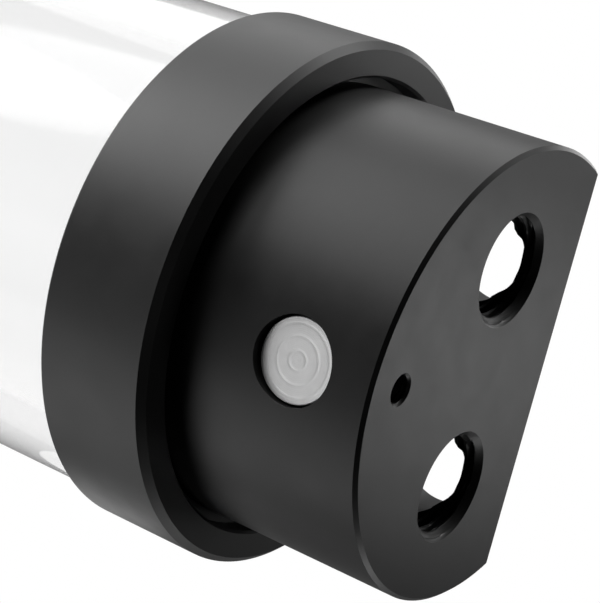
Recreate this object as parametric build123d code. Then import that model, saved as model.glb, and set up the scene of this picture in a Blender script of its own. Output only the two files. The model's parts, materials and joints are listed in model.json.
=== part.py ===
from build123d import *
import os

# Cylindrical coolant reservoir for a liquid cooling loop.
# It stands upright on the end face of its base cap, which is at z = 0, with its axis on Z.
# The badge faces -Y and the milled flat of the caps faces +Y. All sizes are in millimetres.
# Each cap has a collar that traps its flange and screws onto the end of the clear tube.

# Tube, which the caps and collars are sized to fit
tube_diameter = 63.5
tube_wall = 6.35
tube_length = 150.0
tube_end_chamfer = 0.4
neck_step = 0.75              # from the tube's outside down to the middle of its thread
thread_clearance = 0.05
thread_run_out = 0.2          # bare neck between the collar's back edge and the tube's shoulder

# Collar: a lip that pulls the cap's flange against the tube's end
collar_length = 15.6
collar_wall = 2.45            # outside the middle of the thread
lip_thickness = 3.0
lip_reach = 1.2               # how far the lip covers the flange
collar_front_chamfer = 0.85
collar_back_chamfer = 0.5
opening_chamfer = 0.35
flange_clearance = 0.1

# Cap: a round nose with one side milled flat, a flange and a spigot that centres the tube
nose_gap = 1.25               # between the nose and the collar's lip
nose_length = 25.3            # from the end face to the collar's front face
flat_distance = 11.9          # from the axis to the milled flat
end_chamfer = 0.45
corner_radius = 0.6           # where the flat meets the round side
flange_inset = 0.7            # from the middle of the thread in to the flange
flange_thickness = 4.6
spigot_length = 6.0
spigot_clearance = 0.08
spigot_chamfer = 0.6
bowl_margin = 3.4             # ring left around the shallow bowl that leads the coolant to the ports
bowl_depth = 2.5

# Ports with a standard quarter inch pipe thread, bored at the thread's outer diameter
port_diameter = 13.16
port_edge = 0.29              # width of the broken edge
port_depth = 20.0
port_offset = 13.15           # each side of the middle
port_setback = 3.7            # from the axis towards the badge
passage_step = 0.88           # from the thread's outer radius in to the passage behind it

# Cross ports, bored through the flat into the end ports
cross_port_diameter = 13.5
cross_port_edge = 0.2
cross_port_height = 8.85

# Tapped holes
tapped_diameter = 3.3
tapped_edge = 0.35
tapped_depth = 9.0
end_hole_inset = 6.15         # the hole in the end face, from the nose's round side
mount_hole_spacing = 25.0
mount_hole_height = 20.0      # from the cap's end face
mount_hole_depth = 7.0

# Badge: a turned metal disc in a flat-bottomed pocket
badge_diameter = 9.7
badge_thickness = 1.3
badge_bevel = 0.25
badge_height = 10.4
badge_inset = 1.15            # from the nose's round side in to the badge's face
badge_pocket_gap = 0.25

# Seals: the flange seal is squeezed by the tube's end, the spigot seal by its bore
flange_seal_inset = 2.9       # from the middle of the thread in to the middle of the seal
flange_seal_width = 2.8
flange_seal_height = 1.9
spigot_seal_width = 2.4
spigot_seal_height = 1.8
seal_groove_clearance = 0.15
seal_face_clearance = 0.02
seal_bulge = 0.3              # share of a seal's section that its corners lose when squeezed

# Stop plug
plug_head_height = 4.0
plug_head_chamfer = 0.6
plug_thread_length = 7.0
plug_thread_clearance = 0.08
plug_tip_chamfer = 0.8
plug_socket_width = 6.0
plug_socket_depth = 3.2
plug_seal_inset = 0.28        # from the port's edge out to the seal
plug_seal_width = 1.4
plug_seal_height = 1.1
plug_seal_cover = 0.45        # from the seal out to the edge of the head

# Radii that follow, from the tube inwards and outwards
bore_radius = tube_diameter / 2 - tube_wall
thread_radius = tube_diameter / 2 - neck_step
collar_radius = thread_radius + collar_wall
flange_radius = thread_radius - flange_inset
opening_radius = flange_radius - lip_reach
nose_radius = opening_radius - nose_gap
spigot_radius = bore_radius - spigot_clearance
bowl_radius = bore_radius - bowl_margin
flange_seal_radius = thread_radius - flange_seal_inset
port_radius = port_diameter / 2
plug_seal_radius = port_radius + port_edge + plug_seal_inset + plug_seal_width / 2
plug_head_radius = plug_seal_radius + plug_seal_width / 2 + plug_seal_cover

# Levels that follow, measured from a cap's end face
lip_back = nose_length + lip_thickness
tube_seat = lip_back + flange_thickness
spigot_end = tube_seat + spigot_length
collar_back = nose_length + collar_length
reservoir_height = 2 * tube_seat + tube_length


def ring(inner_radius, outer_radius, low, high):
    """A plain ring around Z between two levels."""
    middle = Pos(0, 0, (low + high) / 2)
    return middle * (Cylinder(outer_radius, high - low) - Cylinder(inner_radius, high - low))


def drill(mouth, radius, depth, edge=0.0):
    """A hole that goes in along the mouth's Z, with its edge broken at 45 degrees."""
    hole = Pos(0, 0, depth / 2) * Cylinder(radius, depth)
    if edge > 0:
        hole += Pos(0, 0, edge / 2) * Cone(radius + edge, radius, edge)
    return mouth.location * hole


def seal_ring(middle_radius, width, height, level):
    """A squeezed rubber ring: its section bulges between the two faces that it bears on."""
    section = Rectangle(width, height)
    section = chamfer(section.vertices(), seal_bulge * min(width, height))
    return revolve(Plane.XZ * Pos(middle_radius, level) * section, Axis.Z)


def turned(points):
    """A turned piece from the points of its section, given as radius and level."""
    return revolve(Plane.XZ * make_face(Polyline(*points, close=True)), Axis.Z)


def end_plane(x, y):
    """The mouth of a hole in the cap's end face."""
    return Plane(origin=(x, y, 0), x_dir=(1, 0, 0), z_dir=(0, 0, 1))


def flat_plane(x, height):
    """The mouth of a hole in the milled flat."""
    return Plane(origin=(x, flat_distance, height), x_dir=(1, 0, 0), z_dir=(0, -1, 0))


def nose():
    """The round nose with its flat, up to the flange, with every outer edge broken."""
    outline = Circle(nose_radius)
    outline -= Pos(0, flat_distance + nose_radius) * Rectangle(4 * nose_radius, 2 * nose_radius)
    body = extrude(outline, amount=lip_back)
    uprights = body.edges().filter_by(Axis.Z)
    corners = [edge for edge in uprights if abs(edge.center().Y - flat_distance) < corner_radius]
    body = fillet(corners, corner_radius)
    return chamfer(body.faces().sort_by(Axis.Z)[0].edges(), end_chamfer)


def cap_body():
    """What both caps share, standing on the end face: nose, flange, spigot, seal grooves and ports."""
    body = nose()
    body += Pos(0, 0, (lip_back + tube_seat) / 2) * Cylinder(flange_radius, flange_thickness)
    spigot = Pos(0, 0, (tube_seat + spigot_end) / 2) * Cylinder(spigot_radius, spigot_length)
    body += chamfer(spigot.faces().sort_by(Axis.Z)[-1].edges(), spigot_chamfer)
    body -= Pos(0, 0, spigot_end - bowl_depth / 2) * Cone(bowl_radius - bowl_depth, bowl_radius, bowl_depth)
    body -= flange_seal_groove() + spigot_seal_groove()
    for side in (-1, 1):
        mouth = end_plane(side * port_offset, -port_setback)
        body -= drill(mouth, port_radius, port_depth, port_edge)
        body -= drill(mouth, port_radius - passage_step, spigot_end)
        mount = flat_plane(side * mount_hole_spacing / 2, mount_hole_height)
        body -= drill(mount, tapped_diameter / 2, mount_hole_depth, tapped_edge)
    return body


def flange_seal_groove():
    """The groove in the flange that holds the seal under the tube's end."""
    half_width = flange_seal_width / 2 + seal_groove_clearance
    inner, outer = flange_seal_radius - half_width, flange_seal_radius + half_width
    return ring(inner, outer, tube_seat - flange_seal_height, tube_seat)


def spigot_seal_groove():
    """The groove around the spigot, halfway along it."""
    middle = (tube_seat + spigot_end) / 2
    half_width = spigot_seal_width / 2 + seal_groove_clearance
    return ring(bore_radius - spigot_seal_height, bore_radius, middle - half_width, middle + half_width)


def flange_seal():
    """The ring between the flange and the end of the tube."""
    height = flange_seal_height - seal_face_clearance
    level = tube_seat - flange_seal_height + height / 2
    return seal_ring(flange_seal_radius, flange_seal_width, height, level)


def spigot_seal():
    """The ring between the spigot and the tube's bore."""
    height = spigot_seal_height - seal_face_clearance
    middle_radius = bore_radius - spigot_seal_height + height / 2
    return seal_ring(middle_radius, height, spigot_seal_width, (tube_seat + spigot_end) / 2)


def base_cap():
    """The lower cap, with its cross ports, the tapped hole in its end and the badge's pocket."""
    body = cap_body()
    cross_depth = flat_distance + port_setback
    for side in (-1, 1):
        mouth = flat_plane(side * port_offset, cross_port_height)
        body -= drill(mouth, cross_port_diameter / 2, cross_depth, cross_port_edge)
    body -= drill(end_plane(0, end_hole_inset - nose_radius), tapped_diameter / 2, tapped_depth, tapped_edge)
    pocket_mouth = Plane(origin=(0, -nose_radius, badge_height), x_dir=(1, 0, 0), z_dir=(0, 1, 0))
    pocket_radius = badge_diameter / 2 + badge_pocket_gap
    return body - drill(pocket_mouth, pocket_radius, badge_inset + badge_thickness)


def badge():
    """The metal disc on the floor of its pocket."""
    disc = Cylinder(badge_diameter / 2, badge_thickness)
    disc = chamfer(disc.faces().sort_by(Axis.Z)[-1].edges(), badge_bevel)
    face_plane = Plane(
        origin=(0, badge_inset + badge_thickness / 2 - nose_radius, badge_height),
        x_dir=(1, 0, 0), z_dir=(0, -1, 0))
    return face_plane.location * disc


def collar():
    """The screw collar: an inward lip over the flange, then the thread that runs on the tube."""
    chamber = flange_radius + flange_clearance
    return turned([
        (opening_radius + opening_chamfer, nose_length),
        (collar_radius - collar_front_chamfer, nose_length),
        (collar_radius, nose_length + collar_front_chamfer),
        (collar_radius, collar_back - collar_back_chamfer),
        (collar_radius - collar_back_chamfer, collar_back),
        (thread_radius, collar_back),
        (thread_radius, tube_seat),
        (chamber, tube_seat),
        (chamber, lip_back),
        (opening_radius, lip_back),
        (opening_radius, nose_length + opening_chamfer),
    ])


def tube():
    """The clear tube, turned down to the thread at both ends."""
    outer = tube_diameter / 2
    neck = thread_radius - thread_clearance
    low, high = tube_seat, tube_seat + tube_length
    neck_length = collar_back - tube_seat + thread_run_out
    edge = tube_end_chamfer
    return turned([
        (bore_radius + edge, low), (neck - edge, low), (neck, low + edge),
        (neck, low + neck_length), (outer, low + neck_length),
        (outer, high - neck_length), (neck, high - neck_length),
        (neck, high - edge), (neck - edge, high), (bore_radius + edge, high),
        (bore_radius, high - edge), (bore_radius, low + edge),
    ])


def plug():
    """A stop plug that stands on z = 0, its thread below and its head with the hexagon socket above."""
    shank_radius = port_radius - plug_thread_clearance
    shank = Pos(0, 0, -plug_thread_length / 2) * Cylinder(shank_radius, plug_thread_length)
    shank = chamfer(shank.faces().sort_by(Axis.Z)[0].edges(), plug_tip_chamfer)
    head = Pos(0, 0, plug_head_height / 2) * Cylinder(plug_head_radius, plug_head_height)
    head = chamfer(head.faces().sort_by(Axis.Z)[-1].edges(), plug_head_chamfer)
    socket = Pos(0, 0, plug_head_height - plug_socket_depth) * extrude(
        RegularPolygon(plug_socket_width / 2, 6, major_radius=False), amount=plug_socket_depth)
    half_width = plug_seal_width / 2 + seal_groove_clearance
    groove = ring(plug_seal_radius - half_width, plug_seal_radius + half_width, 0, plug_seal_height)
    return shank + head - socket - groove


def plug_seal():
    """The ring in the groove under the plug's head."""
    height = plug_seal_height - seal_face_clearance
    return seal_ring(plug_seal_radius, plug_seal_width, height, height / 2)


def at_top(shape):
    """Turns a piece of the lower end over for the upper end, with the flat still at the back."""
    return Pos(0, 0, reservoir_height) * Rot(0, 180, 0) * shape


def on_port(shape, side):
    """Puts a plug's piece on one of the upper cap's ports."""
    return Pos(side * port_offset, -port_setback, reservoir_height) * shape


def all_parts():
    """Every piece of the reservoir by its name, in its place."""
    return {
        "base_cap": base_cap(),
        "base_badge": badge(),
        "base_flange_seal": flange_seal(),
        "base_spigot_seal": spigot_seal(),
        "base_collar": collar(),
        "reservoir_tube": tube(),
        "top_collar": at_top(collar()),
        "top_cap": at_top(cap_body()),
        "top_flange_seal": at_top(flange_seal()),
        "top_spigot_seal": at_top(spigot_seal()),
        "fill_plug_left": on_port(plug(), -1),
        "fill_plug_left_seal": on_port(plug_seal(), -1),
        "fill_plug_right": on_port(plug(), 1),
        "fill_plug_right_seal": on_port(plug_seal(), 1),
    }


os.makedirs("parts", exist_ok=True)
for name, shape in all_parts().items():
    export_step(shape, f"parts/{name}.step")
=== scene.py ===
# %% [markdown]
# # A coolant reservoir, dressed in code
#
# The object is a clear tube between two black turned caps. Each cap is pulled against the
# end of the tube by a screw collar. The lower cap has two open ports, a small tapped hole
# and a round metal badge, and its back is milled flat.
#
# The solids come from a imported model, the frame. They already have their real size, so
# this script only adds what solids lack: threads, smooth turned surfaces and finishes.
# The frame is loaded first, because every later piece is placed from its boxes.

# %% Load the frame
import json
import math

import bmesh
import bpy
import numpy as np
from mathutils import Matrix, Vector


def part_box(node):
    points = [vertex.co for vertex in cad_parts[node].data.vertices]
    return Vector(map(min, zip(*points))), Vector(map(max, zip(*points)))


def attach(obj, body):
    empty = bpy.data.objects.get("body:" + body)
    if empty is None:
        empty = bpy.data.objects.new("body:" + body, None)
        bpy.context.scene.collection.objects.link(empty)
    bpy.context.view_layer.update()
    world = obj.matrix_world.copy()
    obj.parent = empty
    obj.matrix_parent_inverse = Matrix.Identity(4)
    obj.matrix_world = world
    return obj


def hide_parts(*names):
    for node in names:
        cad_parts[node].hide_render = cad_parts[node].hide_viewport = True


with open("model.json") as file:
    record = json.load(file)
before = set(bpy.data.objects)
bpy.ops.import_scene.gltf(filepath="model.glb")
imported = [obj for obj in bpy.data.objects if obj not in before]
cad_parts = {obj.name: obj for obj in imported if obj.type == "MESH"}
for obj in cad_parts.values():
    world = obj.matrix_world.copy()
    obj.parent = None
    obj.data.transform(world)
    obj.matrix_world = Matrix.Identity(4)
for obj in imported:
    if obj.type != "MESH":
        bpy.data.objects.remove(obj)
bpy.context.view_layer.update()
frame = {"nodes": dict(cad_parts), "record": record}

nodes = frame["nodes"]

# %% [markdown]
# ## Sizes
#
# Blender works in metres and the drawing of the part in millimetres, so one factor joins
# them. Levels and radii are read from the boxes of the nodes, and holes from the mounts,
# which keeps this file in step with the solids. Only what neither of them says is written
# here as a number. All of these values are in millimetres.

# %% Sizes from the frame
MM = 0.001

boxes = {name: [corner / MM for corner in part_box(name)] for name in nodes}
mounts = {mount["name"]: mount for mount in frame["record"]["mounts"]}


def mount_place(name):
    """A mount's place in millimetres."""
    return Vector(mounts[name]["pos_m"]) / MM


spigot_end = boxes["base_cap"][1].z
flange_radius = boxes["base_cap"][1].x
seat_level = boxes["reservoir_tube"][0].z
upper_seat = boxes["reservoir_tube"][1].z
tube_radius = boxes["reservoir_tube"][1].x
collar_front = boxes["base_collar"][0].z
collar_back = boxes["base_collar"][1].z
collar_radius = boxes["base_collar"][1].x
top_level = boxes["top_cap"][1].z
middle_level = top_level / 2

flat_distance = mount_place("base_flat").y
port_offset = mount_place("end_port_right").x
port_line = mount_place("end_port_right").y
port_radius = mounts["end_port_right"]["dims"]["r_mm"]
cross_port_level = mount_place("cross_port_right").z
cross_port_radius = mounts["cross_port_right"]["dims"]["r_mm"]
end_hole_line = mount_place("end_hole").y
mount_hole_level = mount_place("base_mount_holes").z
mount_hole_spacing = mounts["base_mount_holes"]["dims"]["spacing_x_mm"]
screw_hole_radius = mounts["base_mount_holes"]["dims"]["hole_r_mm"]

bore_radius = 25.4
nose_radius = 27.85
lip_back = 28.3
print("top at", round(top_level, 2), "mm, ports at", round(port_offset, 2), round(port_line, 2), "mm")

# %% [markdown]
# ## Meshes from arrays
#
# Turned plastic is one smooth skin that breaks only at its edges. Such pieces could be
# modelled from Blender's own cylinders, but a thread wouldn't fit into those. So every piece
# here is a grid of points that is worked out at once, as arrays, and no loop runs over
# vertices. A ring is a grid that wraps round both ways, like a tube bent into a circle. A
# solid piece wraps one way only and ends in a pole at the middle of each face. Edges that
# turn by more than a set angle are marked as sharp, and everything else shades smoothly.

# %% Grid meshes
smooth_limit = math.radians(24)
merge_distance = 1e-7


def shade(mesh):
    """Shades a mesh smoothly, apart from the edges that turn by more than the limit."""
    mesh.polygons.foreach_set("use_smooth", np.ones(len(mesh.polygons), bool))
    mesh.set_sharp_from_angle(angle=smooth_limit)
    mesh.update()
    return mesh


def grid_object(name, points, poles=False):
    """A closed surface from points[i, j] in millimetres.

    points[i, j] is joined to points[i + 1, j] and points[i, j + 1]. The first index always
    wraps. The second wraps too, or else its first and last rows are each one single point.
    """
    around, along = points.shape[:2]
    index = np.arange(around * along).reshape(around, along)
    following = np.roll(index, -1, 0)
    quads = np.stack([index, following, np.roll(following, -1, 1), np.roll(index, -1, 1)], -1)
    if poles:
        quads = quads[:, :-1]
    mesh = bpy.data.meshes.new(name)
    mesh.vertices.add(index.size)
    mesh.vertices.foreach_set("co", (points * MM).reshape(-1).astype(np.float32))
    mesh.loops.add(quads.size)
    mesh.loops.foreach_set("vertex_index", quads.reshape(-1).astype(np.int32))
    mesh.polygons.add(quads.size // 4)
    mesh.polygons.foreach_set("loop_start", np.arange(0, quads.size, 4, dtype=np.int32))
    mesh.update(calc_edges=True)
    if poles:
        work = bmesh.new()
        work.from_mesh(mesh)
        bmesh.ops.remove_doubles(work, verts=work.verts, dist=merge_distance)
        work.to_mesh(mesh)
        work.free()
    piece = bpy.data.objects.new(name, shade(mesh))
    bpy.context.scene.collection.objects.link(piece)
    return piece


print("edges stay sharp above", round(math.degrees(smooth_limit)), "degrees")

# %% [markdown]
# ## Turned pieces
#
# Nearly all of the reservoir came off a lathe. Blender's Screw modifier turns a section into
# such a piece too, but it keeps the section the same all the way round. A thread doesn't, so
# here the section is carried round as arrays, and a function may change its radius by angle.

# %% Turned pieces


def turned(name, section, steps, poles=False, radius_at=None):
    """A piece turned around Z from a section, its points anticlockwise as (radius, level).

    A point is (radius cos a, radius sin a, level). Where radius_at is given, it replaces the
    section's radius by a function of the angle, the level and that radius.
    """
    angle = np.linspace(0, 2 * np.pi, steps, endpoint=False)[:, None]
    radius, level = (np.broadcast_to(column, (steps, len(section))) for column in section.T)
    if radius_at is not None:
        radius = radius_at(angle, level, radius)
    return grid_object(name, np.stack([radius * np.cos(angle), radius * np.sin(angle), level], -1), poles)


def section_of(*stretches):
    """One section from points and stretches of points, each given as radius and level."""
    return np.concatenate([np.atleast_2d(np.array(stretch, float)) for stretch in stretches])


def at_level(radius, levels):
    """Points of one radius at many levels."""
    return np.stack([np.full(len(levels), float(radius)), levels], -1)


print("a short section:", section_of((2, 0), at_level(3, [0, 1]), (2, 1)).tolist())

# %% [markdown]
# ## Moving and cutting
#
# A piece is made around the Z axis, where its formula is simplest, and then its mesh is
# moved to its place, so that the object itself stays at the origin. Holes meet each other
# inside the caps, and working those seams out by hand would be hard. So they are cut with
# Boolean modifiers, which are applied at once.

# %% Moving and cutting


def shift(x=0.0, y=0.0, z=0.0):
    """A move in millimetres, as a matrix."""
    return Matrix.Translation(Vector((x, y, z)) * MM)


def moved(piece, *matrices):
    """Moves a piece's mesh by the product of the matrices."""
    for matrix in reversed(matrices):
        piece.data.transform(matrix)
    return piece


def turned_over(piece):
    """Turns a piece of the lower end over for the upper end, about the reservoir's middle."""
    return moved(piece, shift(z=2 * middle_level), Matrix.Rotation(math.pi, 4, "Y"))


def cut(piece, *cutters):
    """Cuts closed meshes out of a piece and removes them."""
    for cutter in cutters:
        change = piece.modifiers.new("cut", "BOOLEAN")
        change.object = cutter
        change.operation = "DIFFERENCE"
        change.solver = "EXACT"
    graph = bpy.context.evaluated_depsgraph_get()
    result = bpy.data.meshes.new_from_object(piece.evaluated_get(graph))
    piece.modifiers.clear()
    piece.data = shade(result)
    for cutter in cutters:
        bpy.data.objects.remove(cutter)
    return piece


print("upper pieces are turned over at the level", round(middle_level, 2), "mm")

# %% [markdown]
# ## Dressing
#
# Each finished piece takes the place of one solid. It gets the body that it moves with and
# a finish. That could be done piece by piece, but the steps are always the same, so one
# function does them. It finds the finish by the name of the record's slot, in a dictionary
# that the next cells fill in.

# %% Dressing
finishes = {}


def dress(piece, body, slot, node):
    """Gives a piece its body and its finish, and hides the node that it stands for."""
    piece.data.materials.clear()
    piece.data.materials.append(finishes[slot])
    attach(piece, body)
    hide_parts(node)
    print(f"{piece.name}: {len(piece.data.polygons)} faces")


# %% [markdown]
# ## Node materials
#
# A finish is a small graph of nodes. These helpers add a node, a noise, a socket that a
# noise drives and a fine bump, so that each finish below reads as a short list of what it
# is made of. A picture of a surface could do the same, but a noise has no seam, needs no
# file and follows the piece. Most of a noise's values lie in the middle of its range, which
# is why that span can be stretched over the whole of a socket's range.

# %% Material helpers
whole_span = (0.0, 1.0)
middle_span = (0.3, 0.7)


def new_material(name):
    """An empty node material with its output and one Principled shader."""
    material = bpy.data.materials.new(name)
    material.use_nodes = True
    tree = material.node_tree
    shader = tree.nodes["Principled BSDF"]
    return material, tree, shader


def add(tree, kind, values=None, links=None, **settings):
    """Adds a node, sets its plain values and links its inputs from other nodes' outputs."""
    node = tree.nodes.new(kind)
    for key, value in settings.items():
        setattr(node, key, value)
    for key, value in (values or {}).items():
        node.inputs[key].default_value = value
    for key, output in (links or {}).items():
        tree.links.new(output, node.inputs[key])
    return node


def object_coordinates(tree):
    """The point's place in the frame, which doesn't move with the camera."""
    return add(tree, "ShaderNodeTexCoord").outputs["Object"]


def noise(tree, place, scale, detail, roughness=0.5):
    """A cloudy value between 0 and 1 at each place."""
    values = {"Scale": scale, "Detail": detail, "Roughness": roughness}
    return add(tree, "ShaderNodeTexNoise", values, {"Vector": place}).outputs["Fac"]


def vary(tree, shader, socket, value, low, high, span=whole_span):
    """Drives a socket between low and high by a value that runs over the span."""
    ends = {"From Min": span[0], "From Max": span[1], "To Min": low, "To Max": high}
    level = add(tree, "ShaderNodeMapRange", ends, {"Value": value})
    tree.links.new(level.outputs["Result"], shader.inputs[socket])


def fine_bump(tree, shader, height, strength, depth):
    """Tilts the surface a little by a height, with the depth in metres."""
    bump = add(tree, "ShaderNodeBump", {"Strength": strength, "Distance": depth}, {"Height": height})
    tree.links.new(bump.outputs["Normal"], shader.inputs["Normal"])


# %% [markdown]
# ## Black acetal
#
# The caps and collars are turned from black acetal. It is satin: a dark body under a
# surface that spreads highlights. An even black would look like paint. So one cloudy noise
# varies both tone and sheen, as handling and cutting oil do, and a bump of a very fine
# grain keeps the highlights from looking wet.

# %% Acetal
tone_spread = 0.2


def acetal(name, grey, roughness, gloss):
    """Satin black plastic with a cloudy sheen and a fine grain."""
    material, tree, shader = new_material(name)
    place = object_coordinates(tree)
    sheen_spread = 0.025
    cloud = noise(tree, place, scale=230.0, detail=6.0, roughness=0.6)
    vary(tree, shader, "Roughness", cloud, roughness - sheen_spread, roughness + sheen_spread, middle_span)
    vary(tree, shader, "Base Color", cloud, grey * (1 - tone_spread), grey * (1 + tone_spread), middle_span)
    fine_bump(tree, shader, noise(tree, place, scale=3200.0, detail=2.0), strength=0.10, depth=0.00003)
    shader.inputs["IOR"].default_value = 1.48
    shader.inputs["Specular IOR Level"].default_value = gloss
    return material


finishes["cap_black"] = acetal("acetal_caps", grey=0.012, roughness=0.42, gloss=0.3)
finishes["collar_black"] = acetal("acetal_collars", grey=0.014, roughness=0.45, gloss=0.4)
print("finishes so far:", *finishes)

# %% [markdown]
# ## Clear acrylic
#
# The tube is solid clear plastic. A thin see-through shell would be quicker to render, but
# it wouldn't bend light, so the tube has real walls and a shader that lets light through. It
# is a little duller than polish, which makes the bands in it soft. A drawn tube is never
# quite even along its length, so its faint grey comes in long streaks: the noise is
# stretched along Z. A dark tint on its reflections keeps the lamps' images out of it.

# %% Acrylic


def acrylic():
    """Clear acrylic with long grey streaks and a slightly wiped surface."""
    material, tree, shader = new_material("acrylic_tube")
    place = object_coordinates(tree)
    drawn = add(tree, "ShaderNodeMapping", {"Scale": (1.0, 1.0, 0.08)}, {"Vector": place})
    streaks = noise(tree, drawn.outputs["Vector"], scale=70.0, detail=4.0)
    vary(tree, shader, "Base Color", streaks, low=0.93, high=0.975, span=middle_span)
    vary(tree, shader, "Roughness", noise(tree, place, scale=40.0, detail=3.0), low=0.06, high=0.12)
    shader.inputs["Specular Tint"].default_value = (0.08, 0.08, 0.08, 1)
    shader.inputs["Transmission Weight"].default_value = 1.0
    shader.inputs["IOR"].default_value = 1.49
    return material


finishes["tube_clear"] = acrylic()
print("finishes so far:", *finishes)

# %% [markdown]
# ## Turned metal
#
# The badge is a disc of pale metal that was faced on a lathe, so it carries very fine rings
# around its centre. Rings that fine would cost thousands of faces, so a wave texture makes
# them, in the bump and in the sheen. The wave is centred on the badge by a Mapping node.

# %% Turned metal
badge_low, badge_high = boxes["base_badge"]
badge_centre = (badge_low + badge_high) / 2


def turned_metal(centre):
    """Pale satin metal with tool rings around a centre, given in metres."""
    material, tree, shader = new_material("turned_badge")
    place = object_coordinates(tree)
    centred = add(tree, "ShaderNodeMapping", {"Location": (-centre[0], 0.0, -centre[2])}, {"Vector": place})
    wave = {"Scale": 1500.0, "Distortion": 2.0, "Detail": 2.0}
    rings = add(tree, "ShaderNodeTexWave", wave, {"Vector": centred.outputs["Vector"]},
                wave_type="RINGS", rings_direction="Y").outputs["Fac"]
    stain = noise(tree, place, scale=420.0, detail=4.0)
    vary(tree, shader, "Base Color", stain, low=0.90, high=0.98, span=middle_span)
    vary(tree, shader, "Roughness", rings, low=0.40, high=0.50)
    fine_bump(tree, shader, rings, strength=0.1, depth=0.00002)
    shader.inputs["Metallic"].default_value = 1.0
    return material


finishes["badge_metal"] = turned_metal(badge_centre * MM)
print("badge centre at", [round(value, 2) for value in badge_centre], "mm")

# %% [markdown]
# ## Rubber and black plating
#
# The seals are matt rubber with a faint bloom. The plugs are plated, which is a smoother,
# harder black. Both are a grain over a plain dark body, so one function makes the two, and
# only the size of the grain and the roughness tell them apart.

# %% Rubber and plating


def grained_black(name, grey, roughness, grain_scale):
    """A dark finish whose grain varies its tone, its sheen and its surface."""
    material, tree, shader = new_material(name)
    grain = noise(tree, object_coordinates(tree), scale=grain_scale, detail=3.0)
    sheen_spread = 0.05
    vary(tree, shader, "Base Color", grain, grey * (1 - tone_spread), grey * (1 + tone_spread))
    vary(tree, shader, "Roughness", grain, roughness - sheen_spread, roughness + sheen_spread)
    fine_bump(tree, shader, grain, strength=0.3, depth=0.00002)
    return material


finishes["seal_rubber"] = grained_black("rubber_seals", grey=0.018, roughness=0.62, grain_scale=900.0)
finishes["plug_black"] = grained_black("plated_plugs", grey=0.02, roughness=0.3, grain_scale=1600.0)
print("all finishes:", *finishes)

# %% [markdown]
# ## The shape of a thread
#
# The ports, the small holes, the collars and the tube all have real screw threads. A thread
# could be swept along a helix and joined to its piece, but that leaves a seam. As a formula
# it is simpler: a thread is a ridge whose height depends on one number only, how far along
# the axis a point lies, in pitches, less how far round it is, in turns. A triangle wave of
# that number, with its tips cut off, gives the ridge. A nut and its bolt use the same
# formula and differ by a running clearance, so they fit each other all along.

# %% Thread formula
port_crest = 5.95
port_pitch = 1.337
screw_radius = 2.0
screw_pitch = 0.7
neck_radius = 31.6
neck_root = 30.5
collar_pitch = 2.0


def thread_wave(angle, depth, pitch, start, flat):
    """How far a right-hand thread stands in from its outer radius, from 0 to 1.

    The phase is depth / pitch - angle / (2 pi) - start. The wave is 1 at whole phases and 0
    halfway between, and the share called flat is cut off at both tips.
    """
    phase = depth / pitch - angle / (2 * np.pi) - start
    wave = np.abs(2 * (phase - np.floor(phase)) - 1)
    return np.clip((wave - flat) / (1 - 2 * flat), 0, 1)


def eased(value, low, high):
    """0 below low, 1 above high, and a smooth step between."""
    share = np.clip((value - low) / (high - low), 0, 1)
    return share * share * (3 - 2 * share)


def threaded_radius(outer, inner, pitch, start=0.0, flat=0.14):
    """A thread's radius as a function of angle and depth, from its outer and inner radius."""
    return lambda angle, depth: outer - (outer - inner) * thread_wave(angle, depth, pitch, start, flat)


pipe_thread = threaded_radius(port_radius, port_crest, port_pitch, start=0.21, flat=0.3)
screw_thread = threaded_radius(screw_radius, screw_hole_radius, screw_pitch)
collar_thread = threaded_radius(neck_radius, neck_root, collar_pitch)
print("pipe thread from radius", port_crest, "to", round(port_radius, 2), "mm, pitch", port_pitch, "mm")

# %% [markdown]
# ## Tapped holes
#
# A tapped hole is drilled, countersunk and then tapped. Those could be three cutters, but
# one closed turned piece whose radius follows the thread formula makes it in a single cut.
# At its mouth a cone stands for the countersink, with the thread coming in behind it, and at
# its far end the thread fades into the drilled hole, as a tap leaves it.

# %% Shape of a tapped hole
above = 1.0


def tap(name, thread, outer, inner, mouth, lead, depth, rows, steps, bore=None, bore_end=0.0):
    """The shape of a tapped hole, from above its mouth at z = 0 to its far end.

    The radius is the thread's, or where it is more the countersink's, mouth - depth. The
    thread comes in between a third of the lead and the lead, both counted from the mouth.
    Behind the thread a plain bore may go on.
    """
    depths = np.linspace(-above, depth, rows)
    tail = [(bore, depth), (bore, bore_end), (0, bore_end)] if bore else [(0, depth)]
    section = section_of([(0, -above)], at_level(outer, depths), tail)

    def radius_at(angle, level, radius):
        """The countersink over the thread, which fades out over the last tenth."""
        share = eased(level, lead / 3, lead) * (1 - eased(level, 0.9 * depth, depth))
        tapped = inner + (thread(angle, level) - inner) * share
        return np.where(radius == outer, np.maximum(tapped, mouth - level), radius)

    return turned(name, section, steps, poles=True, radius_at=radius_at)


print("cutters start", above, "mm outside the surface")

# %% [markdown]
# ## Cutters for the caps
#
# Each hole of the caps is a cutter that stands a little proud of the surface, so that no
# face of it lies in a face of the cap, which would leave slivers. A port goes on as a plain
# passage to the inside of the reservoir. A cutter for the flat is made along Z like all
# others, and then laid over.

# %% Cutters for the caps
port_edge = 0.29
port_depth = 20.0
passage_radius = 5.7
screw_mouth = 1.95
screw_lead = 1.2
cross_port_edge = 0.2


def port_cutter(side):
    """One port with its pipe thread and the passage behind it."""
    cutter = tap("port", pipe_thread, port_radius, port_crest, port_radius + port_edge, port_edge, port_depth,
                 rows=190, steps=144, bore=passage_radius, bore_end=spigot_end + above)
    return moved(cutter, shift(side * port_offset, port_line))


def screw_hole_cutter(depth):
    """One tapped hole for a small screw."""
    return tap("screw_hole", screw_thread, screw_radius, screw_hole_radius, screw_mouth, screw_lead, depth,
               rows=120, steps=64)


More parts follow.
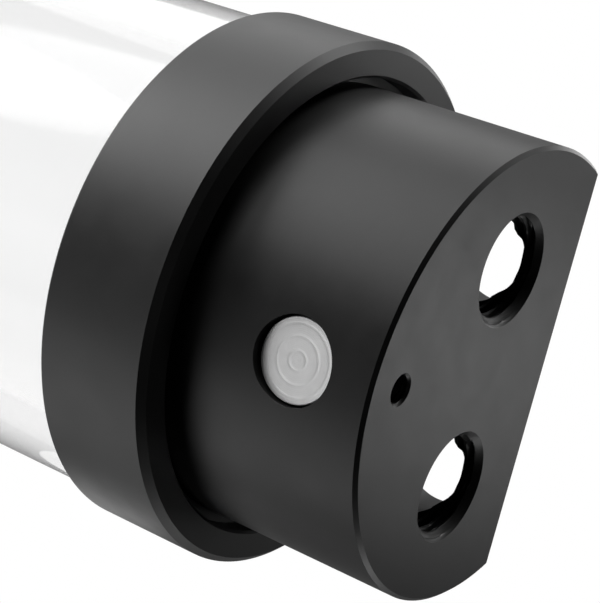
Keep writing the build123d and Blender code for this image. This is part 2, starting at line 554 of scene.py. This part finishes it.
def pocket_cutter(radius, start, end):
    """A plain round pocket along Z, from its start to its flat bottom."""
    section = section_of([(0, start), (radius, start), (radius, end), (0, end)])
    return turned("pocket", section, steps=128, poles=True)


def into_flat(piece, x, z):
    """Turns a cutter round so that it goes into the flat from behind."""
    return moved(piece, shift(x, flat_distance, z), Matrix.Rotation(math.pi / 2, 4, "X"))


def cross_port_cutter(side):
    """One smooth port through the flat into the end port, with its edge broken."""
    radius, edge = cross_port_radius, cross_port_edge
    section = section_of(
        [(0, -above), (radius + edge + above, -above), (radius, edge)],
        [(radius, flat_distance - port_line), (0, flat_distance - port_line)])
    cutter = turned("cross_port", section, steps=160, poles=True)
    return into_flat(cutter, side * port_offset, cross_port_level)


print("each port is threaded over", port_depth, "mm")

# %% [markdown]
# ## Outline of the nose
#
# A cap is a round nose with a flat, under a round flange and spigot. A nose like that
# could be a cylinder with a block cut away, but then its rounded corners and its chamfer
# would need bevels on a cut mesh. Here the outline is written as arcs and a line, and the
# same outline moved inwards gives the chamfer.

# %% Outline of the nose
corner_radius = 0.6
end_chamfer = 0.45
arc_steps = 230
corner_steps = 7
flat_steps = 96


def nose_outline(inset=0.0):
    """The nose's outline anticlockwise, moved inwards by the inset.

    It is an arc around the axis, cut by the flat, with a small arc in each corner. When the
    outline moves inwards, each arc keeps its centre and its radius loses the inset.
    """
    corner_y = flat_distance - corner_radius
    corner_x = math.sqrt((nose_radius - corner_radius) ** 2 - corner_y ** 2)
    lean = math.atan2(corner_y, corner_x)
    arc = np.linspace(np.pi - lean, 2 * np.pi + lean, arc_steps, endpoint=False)[1:]
    bend = np.linspace(lean, np.pi / 2, corner_steps)
    across = np.linspace(corner_x, -corner_x, flat_steps)[1:-1]
    small = corner_radius - inset
    right = np.stack([corner_x + small * np.cos(bend), corner_y + small * np.sin(bend)], -1)
    flat = np.stack([across, np.full(len(across), flat_distance - inset)], -1)
    left = (right * (-1, 1))[::-1]
    round_side = (nose_radius - inset) * np.stack([np.cos(arc), np.sin(arc)], -1)
    return np.concatenate([right, flat, left, round_side])


print("the outline has", len(nose_outline()), "points")

# %% [markdown]
# ## The whole cap
#
# The cap grows from that outline as one grid. Its rows go out over the end face, up the
# nose, out to the round flange, and in over the spigot to the bowl inside it. Two grooves
# hold the seals. A D-shaped nose and a round flange could be two pieces joined by a
# Boolean, but the columns here keep their angle all the way up, so every quad stays clean.

# %% The whole cap
seal_groove = (26.55, 29.65, 1.9)
spigot_radius = 25.32
spigot_groove = (23.6, 1.35)
spigot_chamfer = 0.6
bowl_radius = 22.0
bowl_depth = 2.5
face_ring = 0.97
nose_rows = 9


def cap_grid(name):
    """A cap without its holes, standing on its end face.

    A row is the outline, or its direction times a radius, at one level.
    """
    outline = nose_outline()
    way = outline / np.linalg.norm(outline, axis=1, keepdims=True)
    groove_in, groove_out, groove_deep = seal_groove
    waist, half_groove = spigot_groove
    waist_level = (seat_level + spigot_end) / 2
    round_rows = [
        (flange_radius, lip_back), (flange_radius, seat_level),
        (groove_out, seat_level), (groove_out, seat_level - groove_deep),
        (groove_in, seat_level - groove_deep), (groove_in, seat_level), (spigot_radius, seat_level),
        (spigot_radius, waist_level - half_groove), (waist, waist_level - half_groove),
        (waist, waist_level + half_groove), (spigot_radius, waist_level + half_groove),
        (spigot_radius, spigot_end - spigot_chamfer), (spigot_radius - spigot_chamfer, spigot_end),
        (bowl_radius, spigot_end), (bowl_radius - bowl_depth, spigot_end - bowl_depth),
        (0, spigot_end - bowl_depth),
    ]
    chamfered = nose_outline(end_chamfer)
    rows = [(chamfered * 0, 0), (chamfered * face_ring, 0), (chamfered, 0)]
    rows += [(outline, level) for level in np.linspace(end_chamfer, lip_back, nose_rows)]
    rows += [(way * radius, level) for radius, level in round_rows]
    points = np.stack([np.column_stack([flat, np.full(len(flat), float(level))]) for flat, level in rows], 1)
    return grid_object(name, points, poles=True)


print("spigot", round(2 * spigot_radius, 2), "mm wide, bowl", bowl_depth, "mm deep")

# %% [markdown]
# ## Both caps
#
# The two caps are the same turned body with the same ports and the same two screw holes in
# the flat. The lower one also has the cross ports that open through the flat, the tapped
# hole in its end face and the badge's pocket. So the body and the shared holes are made
# twice by the same functions, and the upper cap is turned over once it is cut.

# %% Both caps
mount_hole_depth = 7.0
end_hole_depth = 9.0
pocket_radius = 5.1


def shared_cutters():
    """The holes that both caps have: two ports, and two screw holes in the flat."""
    ports = [port_cutter(side) for side in (-1, 1)]
    half = mount_hole_spacing / 2
    screws = [into_flat(screw_hole_cutter(mount_hole_depth), x, mount_hole_level) for x in (-half, half)]
    return ports + screws


base_cap = cap_grid("base_cap_turned")
pocket = moved(pocket_cutter(pocket_radius, -nose_radius - above, badge_high.y),
               shift(z=badge_centre.z), Matrix.Rotation(-math.pi / 2, 4, "X"))
cut(base_cap, *shared_cutters(), *(cross_port_cutter(side) for side in (-1, 1)),
    moved(screw_hole_cutter(end_hole_depth), shift(y=end_hole_line)), pocket)
dress(base_cap, "base", "cap_black", "base_cap")

top_cap = turned_over(cut(cap_grid("top_cap_turned"), *shared_cutters()))
dress(top_cap, "upper_cap", "cap_black", "top_cap")

# %% [markdown]
# ## Collars
#
# A collar is a nut that pulls the cap's flange against the tube. Its lip reaches over the
# flange and leaves a round gap around the nose. It could be a cylinder with a hole and
# bevels, but here its chamfers are part of one turned section, and so is the nut's thread
# on its inside, which keeps every edge exactly where the section puts it.

# %% Collars
collar_opening = 29.1
chamber_radius = 30.4
collar_thread_radius = 31.65
half_clearance = 0.05
front_chamfer = 0.85
back_chamfer = 0.5
opening_chamfer = 0.35
fade_length = 0.8
thread_rows = 80
side_rows = 6
turned_steps = 288


def collar_section():
    """The collar's section, anticlockwise from the front edge of its opening."""
    side_levels = np.linspace(collar_front + front_chamfer, collar_back - back_chamfer, side_rows)
    return section_of(
        [(collar_opening + opening_chamfer, collar_front), (collar_radius - front_chamfer, collar_front)],
        at_level(collar_radius, side_levels),
        [(collar_radius - back_chamfer, collar_back)],
        at_level(collar_thread_radius, np.linspace(collar_back, seat_level, thread_rows)),
        [(chamber_radius, seat_level), (chamber_radius, lip_back)],
        [(collar_opening, lip_back), (collar_opening, collar_front + opening_chamfer)],
    )


def nut_radius(angle, level, radius):
    """The thread's radius, faded out at the collar's back edge, and elsewhere the plain radius."""
    fade = eased(level, collar_back - fade_length, collar_back)
    threaded = collar_thread(angle, level - seat_level) + half_clearance
    threaded = threaded * (1 - fade) + collar_thread_radius * fade
    return np.where(radius == collar_thread_radius, threaded, radius)


def collar(name):
    """One collar at the lower end."""
    return turned(name, collar_section(), turned_steps, radius_at=nut_radius)


dress(collar("base_collar_turned"), "lower_collar", "collar_black", "base_collar")
dress(turned_over(collar("top_collar_turned")), "upper_collar", "collar_black", "top_collar")

# %% [markdown]
# ## Tube
#
# The tube is turned down to a threaded neck at both ends. It is one closed sheet: round the
# lower end, up over the thread and the outside, over the upper thread and back down the
# bore. Two open cylinders would look the same in a black piece, but a clear piece has to be
# closed. It must not share a face with its neighbours either, or light would take the two
# for one body, so its ends stand a hair back from the flanges.

# %% Tube
hair = 0.01
neck_spare = 0.2
neck_length = collar_back - seat_level + neck_spare
end_edge = 0.4
end_chamfer_width = 1.2
lead_radius = 30.6
lead_length = 1.5
plain_rows = 14


def tube_section():
    """The tube's section, anticlockwise from the lower end of its bore."""
    low, high = seat_level + hair, upper_seat - hair
    lower_neck, upper_neck = seat_level + neck_length, upper_seat - neck_length
    return section_of(
        [(bore_radius + end_edge, low), (neck_radius - end_chamfer_width, low)],
        at_level(neck_radius, np.linspace(low + end_edge, lower_neck, thread_rows)),
        at_level(tube_radius, np.linspace(lower_neck, upper_neck, plain_rows)),
        at_level(neck_radius, np.linspace(upper_neck, high - end_edge, thread_rows)),
        [(neck_radius - end_chamfer_width, high), (bore_radius + end_edge, high)],
        at_level(bore_radius, np.linspace(high - end_edge, low + end_edge, plain_rows)),
    )


def bolt_radius(angle, level, radius):
    """The tube's threads, faded in at the ends and out at the shoulders.

    The upper one is the lower one turned over, so its angle runs the other way, as pi - a.
    """
    lower = level < middle_level
    depth = np.where(lower, level - seat_level, upper_seat - level)
    threaded = collar_thread(np.where(lower, angle, np.pi - angle), depth) - half_clearance
    shoulder = eased(depth, neck_length - fade_length, neck_length)
    threaded = threaded * (1 - shoulder) + (neck_radius - half_clearance) * shoulder
    lead = (neck_radius - lead_radius) * (1 - eased(depth, 0, lead_length))
    threaded -= lead * (threaded > lead_radius)
    return np.where(radius == neck_radius, threaded, radius)


dress(turned("reservoir_tube_clear", tube_section(), turned_steps, radius_at=bolt_radius),
      "tube", "tube_clear", "reservoir_tube")

# %% [markdown]
# ## Badge
#
# The badge is a turned disc that sits in the flat-bottomed pocket of the lower cap. It could
# be a cylinder with a bevel, but then its face would be dead flat. Its section has three
# shallow grooves, each a bell curve, so that its face catches light in rings. The section is
# turned around Z and then laid over, so that the face looks along -Y.

# %% Badge
badge_radius = badge_high.x
badge_thick = badge_high.y - badge_low.y
badge_bevel = 0.1
groove_depth = 0.015
groove_width = 0.18
groove_radii = (1.1, 2.7, 4.1)
face_points = 150


def badge_section():
    """The disc's section: its back, its edge and bevel, and a face with three round grooves."""
    radii = np.linspace(badge_radius - badge_bevel, 0, face_points)
    dips = sum(np.exp(-((radii - groove) / groove_width) ** 2) for groove in groove_radii)
    return section_of(
        [(0, 0), (badge_radius, 0), (badge_radius, badge_thick - badge_bevel)],
        np.stack([radii, badge_thick - groove_depth * dips], -1))


badge = turned("base_badge_disc", badge_section(), steps=160, poles=True)
moved(badge, shift(badge_centre.x, badge_high.y - hair, badge_centre.z),
      Matrix.Rotation(math.pi / 2, 4, "X"))
dress(badge, "base", "badge_metal", "base_badge")

# %% [markdown]
# ## Stop plugs
#
# Two plugs close the upper ports. A plug is a head with a hexagon socket over a threaded
# shank. Made where it ends up, its thread would have to be fitted to the port's by hand. So
# it is made upside down under the lower cap, where its thread has the same depth and angle
# as the port's, cut with the socket, and turned over with it to the upper end.

# %% Shape of a plug
plug_clearance = 0.06
shank_length = 7.0
shank_rows = 90
neck_end, thread_start = 0.4, 1.3
tip_length = 1.0
head_height = boxes["fill_plug_right"][1].z - top_level
head_radius = (boxes["fill_plug_right"][1].x - boxes["fill_plug_right"][0].x) / 2
head_chamfer = 0.6
socket_width = 6.0
socket_corner = socket_width / math.sqrt(3)
socket_depth = 3.2
plug_groove = (7.0, 8.7, 1.1)


def plug_section():
    """The plug's section from the middle of its head, which is below z = 0, round to its tip."""
    inner, outer, depth = plug_groove
    return section_of(
        [(0, -head_height), (head_radius - head_chamfer, -head_height)],
        [(head_radius, head_chamfer - head_height), (head_radius, 0), (outer, 0)],
        [(outer, -depth), (inner, -depth), (inner, 0)],
        at_level(port_radius, np.linspace(0, shank_length, shank_rows)),
        [(0, shank_length)],
    )


def plug_radius(angle, level, radius):
    """The port's thread less the clearance, with a plain neck under the head and a tapered tip."""
    inner = port_crest - plug_clearance
    tip = eased(level, shank_length - tip_length, shank_length)
    blend = eased(level, neck_end, thread_start) * (1 - tip)
    threaded = (pipe_thread(angle, level) - plug_clearance) * blend + inner * (1 - blend)
    return np.where(radius == port_radius, threaded, radius)


def hexagon_cutter():
    """A hexagonal prism over the socket, turned in six steps."""
    low, high = -head_height - above, socket_depth - head_height
    section = section_of([(0, low), (socket_corner, low), (socket_corner, high), (0, high)])
    return turned("hexagon", section, steps=6, poles=True)


print("plug heads", round(2 * head_radius, 2), "mm wide and", round(head_height, 2), "mm high")

# %% [markdown]
# ## Both plugs
#
# The two plugs differ only in their port. The side is the sign of the port's place under the
# lower cap, and turning over swaps left and right, so the left plug is made on the right.

# %% Both plugs
for side, word in ((1, "left"), (-1, "right")):
    plug = turned(f"fill_plug_{word}_turned", plug_section(), steps=144, poles=True, radius_at=plug_radius)
    cut(plug, hexagon_cutter())
    turned_over(moved(plug, shift(side * port_offset, port_line)))
    dress(plug, f"{word}_plug", "plug_black", f"fill_plug_{word}")

# %% [markdown]
# ## Seals
#
# The seals are rubber rings, hidden when everything is screwed home, and seen through the
# clear tube or when the pieces come apart. Blender's torus has a round section, but a
# fitted ring is squeezed into its groove. So the section is a superellipse, between a
# circle and a box. Each seal has its body and its width here, and its box gives the rest.

# %% Seals
seals = {
    "base_flange_seal": ("base", 2.8),
    "base_spigot_seal": ("base", 1.78),
    "top_flange_seal": ("upper_cap", 2.8),
    "top_spigot_seal": ("upper_cap", 1.78),
    "fill_plug_left_seal": ("left_plug_ring", 1.4),
    "fill_plug_right_seal": ("right_plug_ring", 1.4),
}
seal_points = 32
seal_steps = 160


def seal_section(outer, width, low, high):
    """A superellipse in (radius, level), |x|^3 + |y|^3 = 1, scaled to its width and height."""
    angle = np.linspace(0, 2 * np.pi, seal_points, endpoint=False)
    across, along = (np.sign(wave) * np.abs(wave) ** (2 / 3) for wave in (np.cos(angle), np.sin(angle)))
    return np.stack([outer - width / 2 * (1 - across), (low + high) / 2 + (high - low) / 2 * along], -1)


for node, (body, width) in seals.items():
    low, high = boxes[node]
    ring = turned(node + "_ring", seal_section((high.x - low.x) / 2, width, low.z, high.z), seal_steps)
    moved(ring, shift((low.x + high.x) / 2, (low.y + high.y) / 2))
    dress(ring, body, "seal_rubber", node)

# %% [markdown]
# ## Camera
#
# The photograph was taken from below and in front, with the camera rolled so that the
# reservoir lies across the picture. The place, the point looked at, the roll and the focal
# length were worked out from the outlines of the caps, on a picture of 600 by 603 pixels.
# A Track To constraint would hold the camera level, so its three directions go in a matrix.

# %% Camera
camera_place = Vector((47.63, -204.07, -98.39)) * MM
camera_target = Vector((-0.06, -0.01, 28.59)) * MM
camera_roll = math.radians(68.51)
picture_width, picture_height = 600, 603
focal_pixels = 1985.6

forward = (camera_target - camera_place).normalized()
level_right = forward.cross(Vector((0, 0, 1))).normalized()
level_up = level_right.cross(forward)
camera_up = math.cos(camera_roll) * level_up + math.sin(camera_roll) * level_right
camera_right = forward.cross(camera_up)

camera_data = bpy.data.cameras.new("camera")
camera_data.sensor_width = 36.0
camera_data.lens = focal_pixels * camera_data.sensor_width / max(picture_width, picture_height)
camera_data.clip_start = 0.01
camera = bpy.data.objects.new("camera", camera_data)
bpy.context.scene.collection.objects.link(camera)
turn = Matrix((camera_right, camera_up, -forward)).transposed()
camera.matrix_world = Matrix.Translation(camera_place) @ turn.to_4x4()
bpy.context.scene.camera = camera
print("lens of", round(camera_data.lens, 1), "mm")

# %% [markdown]
# ## Floor
#
# The camera is below the level that the reservoir stands on. A plain floor would hide the
# reservoir, so this one shows only from above, and only to the camera: every other ray
# passes it. It fades out at its rim, which hides the edge from any side.

# %% Floor
floor_radius = 0.6
floor_solid, floor_clear = 0.1 * floor_radius, 0.95 * floor_radius


def floor_material():
    """Pale matt floor, clear from below and to all but the camera's rays, faded at its rim."""
    material, tree, shader = new_material("floor_pale")
    shader.inputs["Base Color"].default_value = (0.93, 0.93, 0.93, 1)
    shader.inputs["Roughness"].default_value = 0.9
    shader.inputs["Specular IOR Level"].default_value = 0.1
    rays = add(tree, "ShaderNodeLightPath")
    face = add(tree, "ShaderNodeNewGeometry")
    front = add(tree, "ShaderNodeMath", {0: 1.0}, {1: face.outputs["Backfacing"]}, operation="SUBTRACT")
    seen = add(tree, "ShaderNodeMath", {}, {0: front.outputs[0], 1: rays.outputs["Is Camera Ray"]},
               operation="MULTIPLY")
    distance = add(tree, "ShaderNodeVectorMath", {}, {0: object_coordinates(tree)}, operation="LENGTH")
    fade = add(tree, "ShaderNodeMapRange", {
        "From Min": floor_solid, "From Max": floor_clear, "To Min": 1.0, "To Max": 0.0,
    }, {"Value": distance.outputs["Value"]}, interpolation_type="SMOOTHSTEP")
    share = add(tree, "ShaderNodeMath", {}, {0: seen.outputs[0], 1: fade.outputs["Result"]},
                operation="MULTIPLY")
    clear = add(tree, "ShaderNodeBsdfTransparent")
    mixed = add(tree, "ShaderNodeMixShader", {}, {
        0: share.outputs[0], 1: clear.outputs[0], 2: shader.outputs[0],
    })
    tree.links.new(mixed.outputs[0], tree.nodes["Material Output"].inputs["Surface"])
    return material


floor_corners = [(x * floor_radius, y * floor_radius, 0.0) for x, y in ((-1, -1), (1, -1), (1, 1), (-1, 1))]
floor_mesh = bpy.data.meshes.new("floor")
floor_mesh.from_pydata(floor_corners, [], [(0, 1, 2, 3)])
floor_mesh.materials.append(floor_material())
floor = bpy.data.objects.new("floor", floor_mesh)
bpy.context.scene.collection.objects.link(floor)
print("floor from", -floor_radius, "to", floor_radius, "m")

# %% [markdown]
# ## White sheet
#
# The background is a plain white sheet. It could be a real plane, but then it would light
# the object from one place and end somewhere. Here it is the world. The camera, and what it
# sees through the clear tube, meets white on every side. Reflections meet the sheet only
# behind the reservoir, where it hangs and glows faintly, and a dark room on the camera's
# side. That is how black plastic stays black in a white picture.

# %% World
backdrop_way = Vector((-0.195, 0.833, 0.518))
backdrop_from, backdrop_to = 0.40, 0.70
room_shade = 0.0
sheet_glow = 0.22

world = bpy.data.worlds.new("studio")
bpy.context.scene.world = world
world.use_nodes = True
sky = world.node_tree
background = sky.nodes["Background"]
background.inputs["Color"].default_value = (1, 1, 1, 1)
way = add(sky, "ShaderNodeTexCoord").outputs["Generated"]
towards = add(sky, "ShaderNodeVectorMath", {1: backdrop_way}, {0: way}, operation="DOT_PRODUCT")
sheet = add(sky, "ShaderNodeMapRange", {
    "From Min": backdrop_from, "From Max": backdrop_to, "To Min": room_shade, "To Max": sheet_glow,
}, {"Value": towards.outputs["Value"]}, interpolation_type="SMOOTHSTEP")
rays = add(sky, "ShaderNodeLightPath")
direct = {0: rays.outputs["Is Camera Ray"], 1: rays.outputs["Is Transmission Ray"]}
plain = add(sky, "ShaderNodeMath", {}, direct, operation="MAXIMUM")
strength = add(sky, "ShaderNodeMath", {}, {0: plain.outputs[0], 1: sheet.outputs["Result"]},
               operation="MAXIMUM")
sky.links.new(strength.outputs[0], background.inputs["Strength"])
print("the sheet glows with", sheet_glow, "in reflections")

# %% [markdown]
# ## Lamps
#
# Black plastic shows little but its reflections, so every soft patch of grey on it is the
# image of a lamp. One big lamp or a picture of a studio would be less work, but it would
# put the same grey on every face. So each face has its own soft lamp, placed where that
# face sees it. The key lamps light the end face and the nose, the fills the long sides
# of nose and collar, and the rims the edges. The near ones are small and stand close by,
# because only a near lamp makes a glow that dies away within a few millimetres. The camera
# doesn't see the lamps, neither straight nor through the tube.

# %% Lamps
lit_point = Vector((0, 0, 15))


def soft_lamp(name, place, size, power):
    """A round soft lamp that looks at the lower end. Place and size are in millimetres."""
    data = bpy.data.lights.new(name, "AREA")
    data.shape = "DISK"
    data.size = size * MM
    data.energy = power
    lamp = bpy.data.objects.new(name, data)
    bpy.context.scene.collection.objects.link(lamp)
    lamp.location = Vector(place) * MM
    lamp.rotation_euler = (Vector(place) - lit_point).to_track_quat("Z", "Y").to_euler()
    lamp.visible_camera = False
    lamp.visible_transmission = False


soft_lamp("key_side", (425, -95, 265), 280, 0.8)
soft_lamp("key_back", (255, -160, 415), 280, 1.8)
soft_lamp("key_front", (335, -335, 170), 280, 0.6)
soft_lamp("fill_left", (-350, -225, 290), 400, 0.7)
soft_lamp("fill_front", (-125, -375, 315), 340, 0.15)
soft_lamp("fill_side", (-386, 37, 244), 200, 0.04)
soft_lamp("rim_right", (440, 230, -30), 260, 1.75)
soft_lamp("rim_back", (360, 225, 275), 340, 0.55)
soft_lamp("high_rim", (108, 436, 42), 160, 0.2)
soft_lamp("low_left", (-400, 145, -140), 160, 0.3)
soft_lamp("front_low", (-45, -340, -290), 200, 0.03)
soft_lamp("near_foot", (-15, 85, -65), 70, 0.028)
soft_lamp("near_right", (45, 80, -20), 50, 0.015)
soft_lamp("near_collar", (-53, 1, 58), 24, 0.0014)
print("lamps:", len(bpy.data.lights))

# %% [markdown]
#
# Blender's default view transform would turn the white sheet grey and shift every other
# tone. Each colour could make up for that, but then it would no longer be the colour of the
# real thing. So the transform is set to Standard, which shows colours as they are written.

bpy.context.scene.view_settings.view_transform = "Standard"
